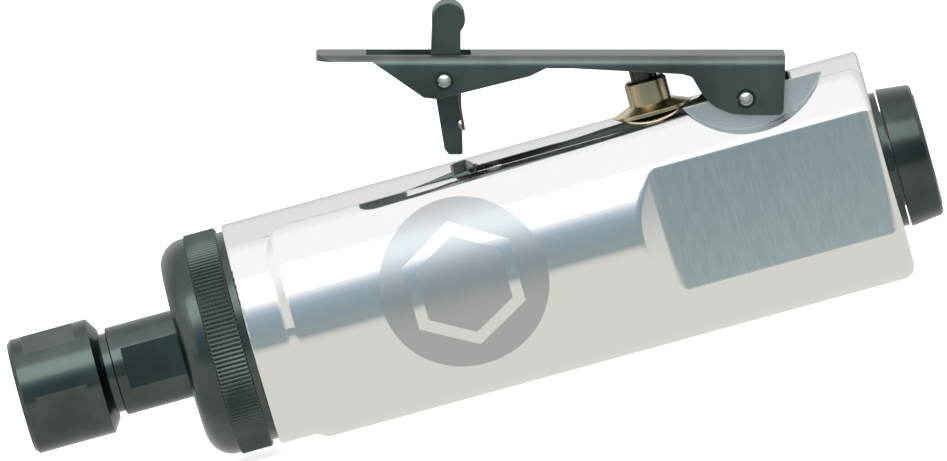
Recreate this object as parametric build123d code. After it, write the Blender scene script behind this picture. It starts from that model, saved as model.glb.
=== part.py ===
"""Straight pneumatic die grinder for a 6.35 mm shank.

Millimetres. X runs along the spindle from the collet mouth (X = 0) to the air inlet, +Z is towards the
throttle lever, and Y is sideways. Every named size below can be set by itself; the places after them are
worked out from the sizes.
"""
import math
import os

from build123d import *

# ---------------------------------------------------------------- driving sizes

# Clearances
run_fit = 0.05  # radial, round parts that turn or slide in each other
body_gap = 0.3  # between parts that move past each other
slip_fit = 0.15  # radial, loose round parts

# Collet and collet nut
shank_radius = 3.175
collet_length = 20.0
collet_head_radius = 6.3
collet_head_length = 3.3
collet_taper_radius = 5.85
collet_taper_drop = 1.4
collet_slot_width = 0.8
collet_slot_length = 15.0
collet_mouth_radius = 4.85
collet_edge = 0.35
nut_radius = 10.2
nut_length = 15.67
nut_flat_depth = 0.675
nut_flat_start = 2.7
nut_flat_length = 9.1
nut_front_chamfer = 0.7
nut_rear_radius = 8.0
nut_rear_taper = 1.42
nut_lip = 1.0
nut_cone_gap = 0.2
nut_turn_angle = 19.5  # degrees, how the wrench flats stand at rest

# Spindle
spindle_thread_radius = 7.0
spindle_radius = 7.8
spindle_shaft_radius = 5.5
nut_shoulder_gap = 1.33
spindle_exposed = 12.3
spindle_flat_depth = 0.9
spindle_flat_start = 2.05
spindle_flat_length = 12.4
spindle_flat_angle = 6.0
spindle_edge = 0.2
spindle_thread_edge = 0.4
shank_hole_depth = 9.0
shank_hole_play = 0.45

# Clamp ring
ring_nose_length = 5.0
ring_nose_round = 4.6
ring_band_length = 5.8
ring_neck_length = 1.2
ring_neck_depth = 1.0
ring_spigot_length = 8.7
ring_spigot_wall = 1.9
ring_web = 6.2
ring_land_drop = 0.35
ring_band_drop = 0.07
seal_width = 3.0
seal_radius = 11.0

# Housing
housing_radius = 20.7
cheek_height = 1.06
housing_wall = 2.6
thread_height = 0.5
collar_length = 6.5
collar_sweep = 1.9
collar_sweep_round = 1.52
collar_round = 0.5
deck_half_width = 10.35
cheek_corner = 5.0
head_length = 50.1
rear_round = 2.2
flat_depth = 3.2
flat_start = 10.5
flat_ramp = 4.6
flat_ramp_round = 3.0
edge_soften = 1.5
pocket_radius = 15.2
pocket_web_half = 6.2
pocket_offset_x = 1.4
pocket_rise = 9.85

# Air motor
end_plate_thickness = 3.5
cylinder_length = 40.0
cylinder_wall = 1.8
cylinder_offset = 1.2
rotor_gap = 0.35
rotor_end_gap = 0.3
rotor_slot_width = 1.7
rotor_slot_floor = 6.9
vane_count = 5
vane_side_gap = 0.05
vane_proud = 0.1
key_width = 2.0
key_height = 2.0
dowel_radius = 0.8
dowel_length = 6.0
port_radius = 1.4
port_pitch = 6.5
port_count = 5
channel_width = 6.0
channel_depth = 0.9
hub_wall = 1.3
motor_end_space = 2.0
front_washer_thickness = 0.8
rear_washer_thickness = 0.6

# Bearings: bore radius, outer radius, width, number of balls
front_bearing = (6.0, 14.0, 8.0, 8)
rear_bearing = (3.5, 9.5, 6.0, 7)
ball_share = 0.3  # ball radius, as a share of the depth between bore and outer radius
land_share = 0.55  # from the pitch circle to each ring, as a share of the ball radius
cage_share = 0.35  # half the cage's wall, as a share of the ball radius
cage_length_share = 1.25  # half the cage's length, as a share of the ball radius

# Throttle valve
valve_offset = 13.5
valve_bore_radius = 5.5
valve_floor = -12.0
valve_flange_radius = 7.125
valve_flange_thickness = 0.6
valve_flange_sink = 0.74
valve_cone_height = 1.1
valve_cone_radius = 4.4
valve_cone_step = 0.15
valve_cap_depth = 4.64
plunger_radius = 3.715
plunger_exposed = 4.3
plunger_chamfer = 0.5
plunger_tip_radius = 2.3
plunger_tip_round = 1.2
stem_radius = 1.6
stem_collar_radius = 4.6
stem_collar_height = 1.8
stem_foot_radius = 2.5
stem_foot_height = 1.0
seat_top = 3.0
seat_height = 4.0
seat_hole_radius = 2.3
poppet_radius = 4.2
poppet_height = 2.1
spring_wire_radius = 0.4
spring_turns = 5
seat_ring_radius = 0.6
stem_ring_radius = 0.5
ring_groove_play = 0.05

# Air passages
feed_radius = 1.6
feed_tube_wall = 0.65
feed_tube_sink = 1.5
feed_height = 13.2
inlet_passage_radius = 2.4
inlet_passage_height = -5.0
exhaust_hole_radius = 1.4
exhaust_hole_circle = 9.85
exhaust_hole_angles = (-40.0, 0.0, 180.0, 220.0)

# Air inlet and exhaust
inlet_depth = 17.4
inlet_thread_radius = 8.0
inlet_thread_length = 12.0
inlet_neck_radius = 8.45
inlet_bore_radius = 5.7
inlet_bore_length = 14.0
inlet_hole_radius = 4.0
inlet_hex_across = 17.0
inlet_hex_length = 2.8
inlet_chamber_length = 2.0
screen_radius = 5.0
screen_sink = 0.3
screen_thickness = 1.0
screen_hole_radius = 0.5
screen_pitch = 1.5
screen_rim = 0.3
exhaust_chamber_radius = 11.4
exhaust_chamber_depth = 9.4
exhaust_collar_radius = 11.9
exhaust_collar_length = 1.1
exhaust_collar_depth = 6.0
exhaust_collar_wall = 1.1
deflector_radius = 12.3
deflector_rear_radius = 11.6
deflector_length = 6.0
deflector_round = 0.88
deflector_front_round = 0.3
deflector_wall = 1.0
deflector_web = 1.7
deflector_web_start = 1.4
deflector_hole_radius = 0.7
deflector_hole_count = 9
collar_notch_width = 2.2
collar_notch_depth = 0.4

# Throttle lever, in its own frame: U rearwards and V upwards from the pivot
pivot_offset = 29.6
pivot_sink = 2.19
lever_angle = 15.45
lever_sheet = 1.1
lever_half_width = 7.7
lever_bend = 1.9
lever_front = 74.3
lever_tongue_end = 64.6
lever_top = 7.4
lever_rear = 6.8
lever_skirt_bottom = 0.1
lever_channel_edge = 4.5
lever_tongue_corner = 4.0
lever_lug_round = 1.5
lever_rear_corner = 1.0
lever_outline_round = 4.0
lever_step_round = 1.2
# the side's lower outline: first from the lock pin and the skirt's bottom,
# then from the pivot and the channel's edge
lever_lug_outline = ((-3.5, 0.25), (-1.2, 0.0), (3.0, 1.03), (14.9, 4.0), (17.6, 5.35), (22.2, 5.35))
lever_foot_outline = ((-11.2, 0.25), (-9.4, 0.7), (-7.8, 3.43), (-5.7, 5.8), (-2.5, 7.15), (0.4, 7.4))
pin_radius = 1.55
pin_wall = 0.55
pin_slot = 0.6
pin_proud = 0.2
pin_play = 0.1

# Lock-off lever, in the throttle lever's frame, from its own pin
lock_pin_u = -52.2
lock_pin_v = 3.07
lock_half_width = 5.0
lock_head_radius = 2.87
lock_head_centre = (0.8, 10.4)
lock_hub_radius = 2.9
lock_leg_front = 0.9
lock_leg_rear = 3.3
lock_waist = ((-2.3, 1.6), (2.86, 1.6))
lock_leg_root = ((-1.6, -1.8), (2.95, -1.0))
lock_toe = (0.1, 1.0)
lock_toe_round = 0.4
lock_hub_offset = 0.2
lock_neck_front = 2.8
lock_neck_rear = 2.1
lock_foot_gap = 1.25
lock_notch_radius = 0.85
lock_notch_drop = 7.8
lock_slot_play = 0.5
lock_spring_wire = 0.25
lock_spring_width = 1.0
lock_spring_reach = 4.2
lock_spring_lean = 9.5  # degrees, of the leg that rests on the lock-off lever
lock_coil_share = 2.4  # depth of the coil, as a share of the wire radius

# ---------------------------------------------------------------- places worked out from the sizes

deck_radius = housing_radius - cheek_height
motor_radius = deck_radius - housing_wall
spigot_radius = motor_radius + thread_height
band_radius = deck_radius - ring_band_drop

spindle_shoulder = nut_length + nut_shoulder_gap
ring_front = spindle_shoulder + spindle_exposed
band_front = ring_front + ring_nose_length
band_rear = band_front + ring_band_length
housing_front = band_rear + ring_neck_length
spigot_end = housing_front + ring_spigot_length
cylinder_front = spigot_end + end_plate_thickness
cylinder_rear = cylinder_front + cylinder_length
rear_plate_end = cylinder_rear + end_plate_thickness
rear_hub_end = rear_plate_end + rear_bearing[2] + body_gap
motor_bay_end = rear_hub_end + motor_end_space
housing_rear = motor_bay_end + head_length

front_bearing_end = spigot_end - body_gap
front_bearing_start = front_bearing_end - front_bearing[2]
rear_bearing_start = rear_plate_end
cylinder_bore = motor_radius - cylinder_wall - cylinder_offset
rotor_radius = cylinder_bore - cylinder_offset - rotor_gap

valve_x = motor_bay_end + valve_offset
valve_seat_plane = deck_radius - valve_flange_sink
valve_cap_bottom = deck_radius - valve_cap_depth
flange_top = valve_seat_plane + valve_flange_thickness
cone_top = flange_top + valve_cone_height
plunger_top = cone_top + plunger_exposed

pivot_x = motor_bay_end + pivot_offset
pivot_z = deck_radius - pivot_sink
lever_tilt = math.radians(lever_angle)
lever_inner_half = lever_half_width - lever_sheet

inlet_front = housing_rear - inlet_depth
chamber_front = housing_rear - exhaust_chamber_depth
collar_rear = housing_rear + exhaust_collar_length
deflector_front = collar_rear + body_gap
deflector_rear = deflector_front + deflector_length
web_front = deflector_front + deflector_web_start
web_rear = web_front + deflector_web
hex_front = web_rear + body_gap
inlet_rear = hex_front + inlet_hex_length
inlet_bore_floor = inlet_rear - inlet_bore_length
screen_front = inlet_bore_floor - screen_sink - screen_thickness


def lever_point(u, v):
    """X and Z of a point given in the throttle lever's frame."""
    x = pivot_x + u * math.cos(lever_tilt) + v * math.sin(lever_tilt)
    z = pivot_z - u * math.sin(lever_tilt) + v * math.cos(lever_tilt)
    return x, z


lock_pin_x, lock_pin_z = lever_point(lock_pin_u, lock_pin_v)
lock_leg_drop = lock_pin_z - deck_radius - lock_foot_gap
lock_leg = (lock_leg_drop - lock_leg_rear * math.sin(lever_tilt)) / math.cos(lever_tilt)
lever_under_u = (valve_x - pivot_x - (lever_top - lever_sheet) * math.sin(lever_tilt)) / math.cos(lever_tilt)
lever_under_z = lever_point(lever_under_u, lever_top - lever_sheet)[1]
tip_flat_rise = (plunger_tip_radius - plunger_tip_round) * math.tan(lever_tilt)
tip_round_rise = (body_gap + plunger_tip_round) / math.cos(lever_tilt) - plunger_tip_round
tip_top = lever_under_z - tip_flat_rise - tip_round_rise


# ---------------------------------------------------------------- shape helpers

def along_x(radius, x_from, x_to, y=0.0, z=0.0):
    """A round bar along X."""
    bar = Cylinder(radius, x_to - x_from, align=(Align.CENTER, Align.CENTER, Align.MIN))
    return Pos(x_from, y, z) * Rot(0, 90, 0) * bar


def along_y(radius, x, z, half_length):
    """A round bar along Y, centred on the XZ plane."""
    return Pos(x, 0, z) * Rot(90, 0, 0) * Cylinder(radius, 2 * half_length)


def along_z(radius, x, z_from, z_to):
    """A round bar along Z."""
    return Pos(x, 0, z_from) * Cylinder(radius, z_to - z_from, align=(Align.CENTER, Align.CENTER, Align.MIN))


def ring(outer, inner, x_from, x_to):
    """A plain ring around X."""
    return along_x(outer, x_from, x_to) - along_x(inner, x_from, x_to)


def box(x_from, x_to, y_from, y_to, z_from, z_to):
    """A box given by its limits."""
    size = (x_to - x_from, y_to - y_from, z_to - z_from)
    return Pos(x_from, y_from, z_from) * Box(*size, align=(Align.MIN, Align.MIN, Align.MIN))


def turned(points, rounds=()):
    """A solid turned around X from an outline of (x, radius) points, with some corners rounded."""
    outline = make_face(Polyline(*points, close=True))
    for corner, radius in rounds:
        vertex = outline.vertices().sort_by_distance(Vector(*corner, 0))[0]
        outline = fillet(vertex, radius)
    return revolve(outline, Axis.X)


def side_plate(points, half_width, rounds=()):
    """A plate with an XZ outline, as wide as stated to each side of the XZ plane."""
    outline = make_face(Polyline(*points, close=True))
    for corner, radius in rounds:
        vertex = outline.vertices().sort_by_distance(Vector(*corner, 0))[0]
        outline = fillet(vertex, radius)
    return Rot(90, 0, 0) * extrude(outline, half_width, both=True)


def in_lever_frame(shape):
    """Moves a shape drawn with U along X and V along Z to the throttle lever at rest."""
    return Pos(pivot_x, 0, pivot_z) * Rot(0, lever_angle, 0) * shape


def ball_bearing(sizes, x_from):
    """Outer ring, inner ring, balls and cage of a deep-groove bearing."""
    bore, outer, width, count = sizes
    pitch = (bore + outer) / 2
    ball = ball_share * (outer - bore)
    land = land_share * ball
    middle = x_from + width / 2
    race = Pos(middle, 0, 0) * Rot(0, 90, 0) * Torus(pitch, ball + run_fit)
    outer_ring = ring(outer, pitch + land, x_from, x_from + width) - race
    inner_ring = ring(pitch - land, bore, x_from, x_from + width) - race
    cage_half = cage_share * ball
    cage_reach = cage_length_share * ball
    cage = ring(pitch + cage_half, pitch - cage_half, middle - cage_reach, middle + cage_reach)
    balls = []
    for number in range(count):
        place = Rot(360 * number / count, 0, 0) * Pos(middle, 0, pitch)
        balls.append(place * Sphere(ball))
        cage -= place * Sphere(ball + run_fit)
    return outer_ring, inner_ring, Compound(balls), cage


def spring_pin(x, z, half_length):
    """A rolled pin with an open slot along its length."""
    tube = along_y(pin_radius, x, z, half_length) - along_y(pin_radius - pin_wall, x, z, half_length + 1)
    slot = box(x - pin_radius - 1, x, -half_length - 1, half_length + 1, z - pin_slot / 2, z + pin_slot / 2)
    return tube - slot


# ---------------------------------------------------------------- spindle end

def build_collet():
    points = (
        (0, 0),
        (0, collet_mouth_radius),
        (nut_lip + run_fit, collet_mouth_radius),
        (collet_head_length - collet_edge, collet_head_radius),
        (collet_head_length, collet_head_radius),
        (collet_head_length, collet_taper_radius),
        (collet_length, collet_taper_radius - collet_taper_drop),
        (collet_length, 0),
    )
    body = turned(points) - along_x(shank_radius, -1, collet_length + 1)
    reach = collet_head_radius + 1
    for angle in (0, 90):
        slot = box(-1, collet_slot_length, -collet_slot_width / 2, collet_slot_width / 2, -reach, reach)
        body -= Rot(angle, 0, 0) * slot
    return body


def build_collet_nut():
    front = nut_radius - nut_front_chamfer
    thread = spindle_thread_radius + run_fit
    mouth = collet_mouth_radius + slip_fit
    cone_end = collet_head_radius + 2 * slip_fit
    body = turned((
        (0, mouth),
        (0, front),
        (nut_front_chamfer, nut_radius),
        (nut_length - nut_rear_taper, nut_radius),
        (nut_length, nut_rear_radius),
        (nut_length, thread),
        (collet_head_length - nut_cone_gap, thread),
        (collet_head_length - nut_cone_gap, cone_end),
        (nut_lip, mouth),
    ))
    flat = nut_radius - nut_flat_depth
    for number in range(4):
        flat_end = nut_flat_start + nut_flat_length
        cut = box(nut_flat_start, flat_end, -nut_radius, nut_radius, flat, nut_radius + 1)
        body -= Rot(nut_turn_angle + 90 * number, 0, 0) * cut
    return body


def build_spindle():
    nose = collet_head_length + body_gap
    bearing_bore = front_bearing[0]
    tail = rear_bearing_start + rear_bearing[2]
    body = turned((
        (nose, 0),
        (nose, spindle_thread_radius - spindle_thread_edge),
        (nose + spindle_thread_edge, spindle_thread_radius),
        (spindle_shoulder, spindle_thread_radius),
        (spindle_shoulder, spindle_radius - spindle_edge),
        (spindle_shoulder + spindle_edge, spindle_radius),
        (front_bearing_start, spindle_radius),
        (front_bearing_start, bearing_bore),
        (front_bearing_end, bearing_bore),
        (front_bearing_end, spindle_shaft_radius),
        (rear_bearing_start, spindle_shaft_radius),
        (rear_bearing_start, rear_bearing[0]),
        (tail, rear_bearing[0]),
        (tail, 0),
    ))
    bore_drop = collet_taper_drop * (collet_length - nose) / (collet_length - collet_head_length)
    bore_front = collet_taper_radius + slip_fit
    shank_hole = shank_radius + shank_hole_play
    body -= turned((
        (nose - 0.01, 0),
        (nose - 0.01, bore_front),
        (collet_length + body_gap, bore_front - bore_drop),
        (collet_length + body_gap, shank_hole),
        (collet_length + shank_hole_depth, shank_hole),
        (collet_length + shank_hole_depth, 0),
    ))
    flat = spindle_radius - spindle_flat_depth
    start = spindle_shoulder + spindle_flat_start
    for side in (0, 180):
        flat_end = start + spindle_flat_length
        cut = box(start, flat_end, -spindle_radius, spindle_radius, flat, spindle_radius + 1)
        body -= Rot(90 - spindle_flat_angle + side, 0, 0) * cut
    key_slot = box(*key_limits()[:4], spindle_shaft_radius - key_height / 2, spindle_shaft_radius + 1)
    return body - key_slot


# ---------------------------------------------------------------- air motor

def key_limits():
    """Limits of the rotor key: X, then Y, then Z."""
    middle = (cylinder_front + cylinder_rear) / 2
    third = cylinder_length / 6
    low = spindle_shaft_radius - key_height / 2
    return middle - third, middle + third, -key_width / 2, key_width / 2, low, low + key_height


def build_rotor():
    start = cylinder_front + rotor_end_gap
    end = cylinder_rear - rotor_end_gap
    body = ring(rotor_radius, spindle_shaft_radius, start, end)
    half = rotor_slot_width / 2
    for number in range(vane_count):
        slot = box(start - 1, end + 1, -half, half, rotor_slot_floor, rotor_radius + 1)
        body -= Rot(360 * (number + 0.5) / vane_count, 0, 0) * slot
    return body - box(*key_limits())


def build_vane(number):
    half = rotor_slot_width / 2 - vane_side_gap
    start = cylinder_front + rotor_end_gap
    end = cylinder_rear - rotor_end_gap
    plate = box(start, end, -half, half, rotor_slot_floor + body_gap, rotor_radius + vane_proud)
    return Rot(360 * (number + 0.5) / vane_count, 0, 0) * plate


def exhaust_channel(x_from, x_to):
    """The channel along the motor's side that leads spent air to the rear."""
    half = channel_width / 2
    return box(x_from, x_to, motor_radius - channel_depth, motor_radius + 1, -half, half)


def build_motor_cylinder():
    body = along_x(motor_radius, cylinder_front, cylinder_rear)
    body -= along_x(cylinder_bore, cylinder_front - 1, cylinder_rear + 1, z=-cylinder_offset)
    first = (cylinder_front + cylinder_rear) / 2 - port_pitch * (port_count - 1) / 2
    for number in range(port_count):
        x = first + port_pitch * number
        port = Pos(x, motor_radius / 2, 0) * Rot(90, 0, 0) * Cylinder(port_radius, motor_radius + 2)
        body -= port
    body -= exhaust_channel(first, cylinder_rear + 1)
    for dowel in dowel_bars():
        body -= dowel
    return body


def dowel_bars():
    """The two dowels that stop the cylinder turning, one through each end plate."""
    half = dowel_length / 2
    height = -(cylinder_bore + cylinder_offset + motor_radius) / 2
    faces = (cylinder_front, cylinder_rear)
    return [along_x(dowel_radius, face - half, face + half, z=height) for face in faces]


def build_front_end_plate():
    hub = front_bearing[1] + hub_wall
    body = along_x(motor_radius, spigot_end, cylinder_front)
    body += along_x(hub, front_bearing_start, spigot_end + 0.5)
    body -= along_x(front_bearing[1], front_bearing_start - 1, spigot_end)
    body -= along_x(spindle_shaft_radius + body_gap, spigot_end - 1, cylinder_front + 1)
    return body - dowel_bars()[0]


def build_rear_end_plate():
    hub = rear_bearing[1] + hub_wall
    body = along_x(motor_radius, cylinder_rear, rear_plate_end)
    body += along_x(hub, rear_plate_end - 0.5, rear_hub_end)
    body -= along_x(rear_bearing[1], rear_plate_end, rear_hub_end + 1)
    body -= along_x(spindle_shaft_radius + body_gap, cylinder_rear - 1, rear_plate_end + 1)
    body -= exhaust_channel(cylinder_rear - 1, rear_plate_end + 1)
    body -= along_x(feed_radius, cylinder_rear - 1, rear_plate_end + 1, z=feed_height)
    tube_start = rear_plate_end - feed_tube_sink
    body -= along_x(feed_radius + feed_tube_wall, tube_start, rear_hub_end + 1, z=feed_height)
    return body - dowel_bars()[1]


def build_air_feed_tube():
    start = rear_plate_end - feed_tube_sink
    tube = along_x(feed_radius + feed_tube_wall, start, motor_bay_end, z=feed_height)
    return tube - along_x(feed_radius, start - 1, motor_bay_end + 1, z=feed_height)


def build_dished_washer(x_from, x_to, inner, outer, thickness):
    """A slightly coned spring washer that fills the space from one face to the other."""
    return turned((
        (x_from, inner),
        (x_to - thickness, outer),
        (x_to, outer),
        (x_from + thickness, inner),
    ))


# ---------------------------------------------------------------- clamp ring and housing

def build_clamp_ring():
    neck = band_radius - ring_neck_depth
    land = band_radius - ring_land_drop
    inner_front = ring_front + ring_web
    hub_space = spigot_radius - ring_spigot_wall
    body = turned((
        (ring_front, spindle_radius + body_gap),
        (ring_front, land),
        (band_front, land),
        (band_front, band_radius),
        (band_rear, band_radius),
        (band_rear, neck),
        (housing_front, neck),
        (housing_front, spigot_radius),
        (spigot_end, spigot_radius),
        (spigot_end, hub_space),
        (inner_front, hub_space),
        (inner_front, spindle_radius + body_gap),
    ), rounds=(((ring_front, land), ring_nose_round),))
    seal_pocket = along_x(seal_radius, inner_front - seal_width, inner_front + 0.01)
    return body - seal_pocket


def housing_blank():
    """The turned body: a front collar that sweeps up to the full radius."""
    cheek_front = housing_front + collar_length
    cheek_full = cheek_front + collar_sweep
    return turned((
        (housing_front, 0),
        (housing_front, deck_radius),
        (cheek_front, deck_radius),
        (cheek_full, housing_radius),
        (housing_rear, housing_radius),
        (housing_rear, 0),
    ), rounds=(
        ((cheek_full, housing_radius), collar_sweep_round),
        ((cheek_front, deck_radius), collar_sweep_round),
        ((housing_front, deck_radius), collar_round),
    ))


def deck_cutter():
    """Outside of the sunk strip along the top, which widens around the cheeks' rounded front corners."""
    reach = housing_radius + 1
    cheek_front = housing_front + collar_length
    strip = box(cheek_front - 1, housing_rear + 1, -reach, reach, 0, reach)
    plan = Rectangle(housing_rear + 5 - cheek_front, reach, align=(Align.MIN, Align.MIN))
    corner = plan.vertices().sort_by_distance(Vector(0, 0, 0))[0]
    plan = fillet(corner, cheek_corner)
    cheek = Pos(cheek_front, deck_half_width, -1) * extrude(plan, reach + 2)
    strip -= cheek
    strip -= mirror(cheek, Plane.XZ)
    return strip - along_x(deck_radius, cheek_front - 2, housing_rear + 2)


def flat_cutter():
    """Outside of one side flat, ramped at its front end, on the -Y side."""
    flat_y = housing_radius - flat_depth
    start = motor_bay_end + flat_start - flat_ramp
    reach = housing_radius + 5
    rise = (reach - flat_y) / flat_depth * flat_ramp
    plan = make_face(Polyline(
        (start + flat_ramp - rise, -reach),
        (start + flat_ramp, -flat_y),
        (housing_rear + 1, -flat_y),
        (housing_rear + 1, -reach),
        close=True,
    ))
    corner = plan.vertices().sort_by_distance(Vector(start + flat_ramp, -flat_y, 0))[0]
    plan = fillet(corner, flat_ramp_round)
    return Pos(0, 0, -housing_radius) * extrude(plan, 2 * housing_radius)


def flat_edges(body):
    """The edges where the two side flats and their ramps meet the round body."""
    ramp_front = motor_bay_end + flat_start - flat_ramp
    ramp_rear = motor_bay_end + flat_start + flat_ramp
    edges = []
    for edge in body.edges():
        middle = edge.position_at(0.5)
        low, high = sorted(edge.position_at(end).X for end in (0, 1))
        along = high - low > flat_ramp and abs(abs(middle.Y) - housing_radius + flat_depth) < 0.01
        ramp = ramp_front - 0.1 < low and high < ramp_rear and edge.geom_type != GeomType.LINE
        if along or ramp:
            edges.append(edge)
    return edges


def pocket_cutter():
    """Outside of one lever pocket, on the -Y side."""
    x = pivot_x + pocket_offset_x
    z = pivot_z + pocket_rise
    disc = Pos(x, -pocket_web_half, z) * Rot(90, 0, 0) * Cylinder(
        pocket_radius, housing_radius, align=(Align.CENTER, Align.CENTER, Align.MIN))
    return disc


def build_housing():
    body = housing_blank() - flat_cutter() - mirror(flat_cutter(), Plane.XZ)
    body = fillet(flat_edges(body), edge_soften)
    body = fillet(body.faces().sort_by(Axis.X)[-1].edges(), rear_round)
    body -= deck_cutter()
    body -= pocket_cutter()
    body -= mirror(pocket_cutter(), Plane.XZ)
    # motor bay and the thread for the clamp ring
    body -= along_x(motor_radius, housing_front - 1, motor_bay_end)
    body -= along_x(spigot_radius, housing_front - 1, spigot_end)
    # throttle valve bore with its seat face
    body -= along_z(valve_bore_radius, valve_x, valve_floor, housing_radius)
    body -= along_z(valve_flange_radius + slip_fit, valve_x, valve_seat_plane, housing_radius)
    # air passages
    body -= along_x(feed_radius, motor_bay_end - 1, valve_x, z=feed_height)
    body -= along_x(inlet_passage_radius, valve_x, inlet_front, z=inlet_passage_height)
    body -= along_x(inlet_thread_radius - 1, inlet_front - inlet_chamber_length, inlet_front + 1)
    body -= along_x(inlet_thread_radius, inlet_front, housing_rear + 1)
    body -= along_x(exhaust_chamber_radius, chamber_front, housing_rear + 1)
    for angle in exhaust_hole_angles:
        y = exhaust_hole_circle * math.cos(math.radians(angle))
        z = exhaust_hole_circle * math.sin(math.radians(angle))
        body -= along_x(exhaust_hole_radius, motor_bay_end - 1, chamber_front + 1, y=y, z=z)
    # pivot pin hole
    body -= along_y(pin_radius, pivot_x, pivot_z, pocket_web_half + 1)
    return body


# ---------------------------------------------------------------- throttle valve

def build_valve_cap():
    hole = plunger_radius + run_fit
    body = along_z(valve_bore_radius, valve_x, valve_cap_bottom, valve_seat_plane)
    body += along_z(valve_flange_radius, valve_x, valve_seat_plane, flange_top)
    foot = valve_flange_radius - valve_cone_step
    cone = Cone(foot, valve_cone_radius, valve_cone_height, align=(Align.CENTER, Align.CENTER, Align.MIN))
    body += Pos(valve_x, 0, flange_top) * cone
    body -= along_z(hole, valve_x, valve_cap_bottom - 1, cone_top + 1)
    height, circle = stem_ring_place()
    groove = stem_ring_radius + ring_groove_play
    return body - along_z(circle + groove, valve_x, height - groove, height + groove)


def build_valve_stem():
    collar_top = valve_cap_bottom - body_gap
    collar_bottom = collar_top - stem_collar_height
    seat_bottom = seat_top - seat_height
    foot_top = seat_bottom - 2 * run_fit - poppet_height
    plunger = along_z(plunger_radius, valve_x, collar_bottom, plunger_top)
    plunger = chamfer(plunger.edges().group_by(Axis.Z)[-1], plunger_chamfer)
    tip = along_z(plunger_tip_radius, valve_x, plunger_top - 1, tip_top)
    tip = fillet(tip.edges().group_by(Axis.Z)[-1], plunger_tip_round)
    collar = along_z(stem_collar_radius, valve_x, collar_bottom, collar_top)
    stem = along_z(stem_radius, valve_x, foot_top - 0.5, collar_bottom + 0.5)
    foot = along_z(stem_foot_radius, valve_x, foot_top - stem_foot_height, foot_top)
    return plunger + tip + collar + stem + foot


def build_valve_poppet():
    top = seat_top - seat_height - 2 * run_fit
    disc = along_z(poppet_radius, valve_x, top - poppet_height, top)
    return disc - along_z(stem_radius, valve_x, top - poppet_height - 1, top + 1)


def build_valve_seat():
    bottom = seat_top - seat_height
    body = along_z(valve_bore_radius, valve_x, bottom, seat_top)
    return body - along_z(seat_hole_radius, valve_x, bottom - 1, seat_top + 1)


def build_valve_spring():
    top = seat_top - seat_height - 2 * run_fit - poppet_height
    bottom = valve_floor + spring_wire_radius
    coil_radius = poppet_radius - 2 * spring_wire_radius
    height = top - spring_wire_radius - bottom
    path = Helix(height / spring_turns, height, coil_radius)
    start = path @ 0
    section = Plane(origin=start, z_dir=path % 0) * Circle(spring_wire_radius)
    return Pos(valve_x, 0, bottom) * sweep(section, path=path, is_frenet=True)


def stem_ring_place():
    """Height and circle radius of the O-ring that the plunger slides in."""
    return (valve_cap_bottom + valve_seat_plane) / 2, plunger_radius + run_fit + stem_ring_radius


def build_stem_o_ring():
    height, circle = stem_ring_place()
    return Pos(valve_x, 0, height) * Torus(circle, stem_ring_radius)


def build_seat_o_ring():
    circle = valve_bore_radius - seat_ring_radius - ring_groove_play
    return Pos(valve_x, 0, seat_top + seat_ring_radius) * Torus(circle, seat_ring_radius)


# ---------------------------------------------------------------- air inlet and exhaust

def build_inlet_bushing():
    thread_end = inlet_front + inlet_thread_length
    body = along_x(inlet_thread_radius, inlet_front, thread_end)
    body += along_x(inlet_neck_radius, thread_end, hex_front)
    head = extrude(RegularPolygon(inlet_hex_across / 2, 6, major_radius=False), inlet_hex_length)
    body += Pos(hex_front, 0, 0) * Rot(0, 90, 0) * head
    body -= along_x(inlet_bore_radius, inlet_bore_floor, inlet_rear + 1)
    body -= along_x(screen_radius, screen_front, inlet_bore_floor + 1)
    return body - along_x(inlet_hole_radius, inlet_front - 1, inlet_rear)


def build_inlet_screen():
    disc = along_x(screen_radius, screen_front, screen_front + screen_thickness)
    reach = (screen_radius - screen_hole_radius - screen_rim) / screen_pitch
    steps = range(-int(reach), int(reach) + 1)
    for row in steps:
        for column in steps:
            if math.hypot(row, column) <= reach:
                y = screen_pitch * column
                z = screen_pitch * row
                disc -= along_x(screen_hole_radius, screen_front - 1, inlet_bore_floor + 1, y=y, z=z)
    return disc


def build_exhaust_muffler():
    outer = exhaust_chamber_radius - exhaust_collar_wall - slip_fit
    inner = inlet_neck_radius + slip_fit
    return ring(outer, inner, inlet_front + inlet_thread_length, collar_rear)


def build_exhaust_collar():
    inner = exhaust_chamber_radius - exhaust_collar_wall
    body = ring(exhaust_chamber_radius, inner, housing_rear - exhaust_collar_depth, housing_rear)
    body += ring(exhaust_collar_radius, inner, housing_rear, collar_rear)
    half = collar_notch_width / 2
    floor = exhaust_collar_radius - collar_notch_depth
    return body - box(housing_rear, collar_rear + 1, -exhaust_collar_radius - 1, -floor, -half, half)


def build_exhaust_deflector():
    inner = deflector_rear_radius - deflector_wall
    hole = inlet_neck_radius + run_fit
    body = turned((
        (deflector_front, inner),
        (deflector_front, deflector_radius),
        (deflector_rear, deflector_rear_radius),
        (deflector_rear, inner),
        (web_rear, inner),
        (web_rear, hole),
        (web_front, hole),
        (web_front, inner),
    ), rounds=(
        ((deflector_rear, deflector_rear_radius), deflector_round),
        ((deflector_front, deflector_radius), deflector_front_round),
    ))
    circle = (hole + inner) / 2
    for number in range(deflector_hole_count):
        angle = math.pi * number / (deflector_hole_count - 1)
        y = circle * math.cos(angle)
        z = -circle * math.sin(angle)
        body -= along_x(deflector_hole_radius, web_front - 1, web_rear + 1, y=y, z=z)
    return body


# ---------------------------------------------------------------- levers

def lever_hollow_points():
    """Outline of the space under the throttle lever's top sheet, open at both ends and below."""
    top = lever_top - lever_sheet
    reach = lever_top + lever_half_width
    return (
        (-lever_front - 1, -reach),
        (-lever_front - 1, top),
        (lever_rear + 1, top),
        (lever_rear + 1, -reach),
    )


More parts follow.
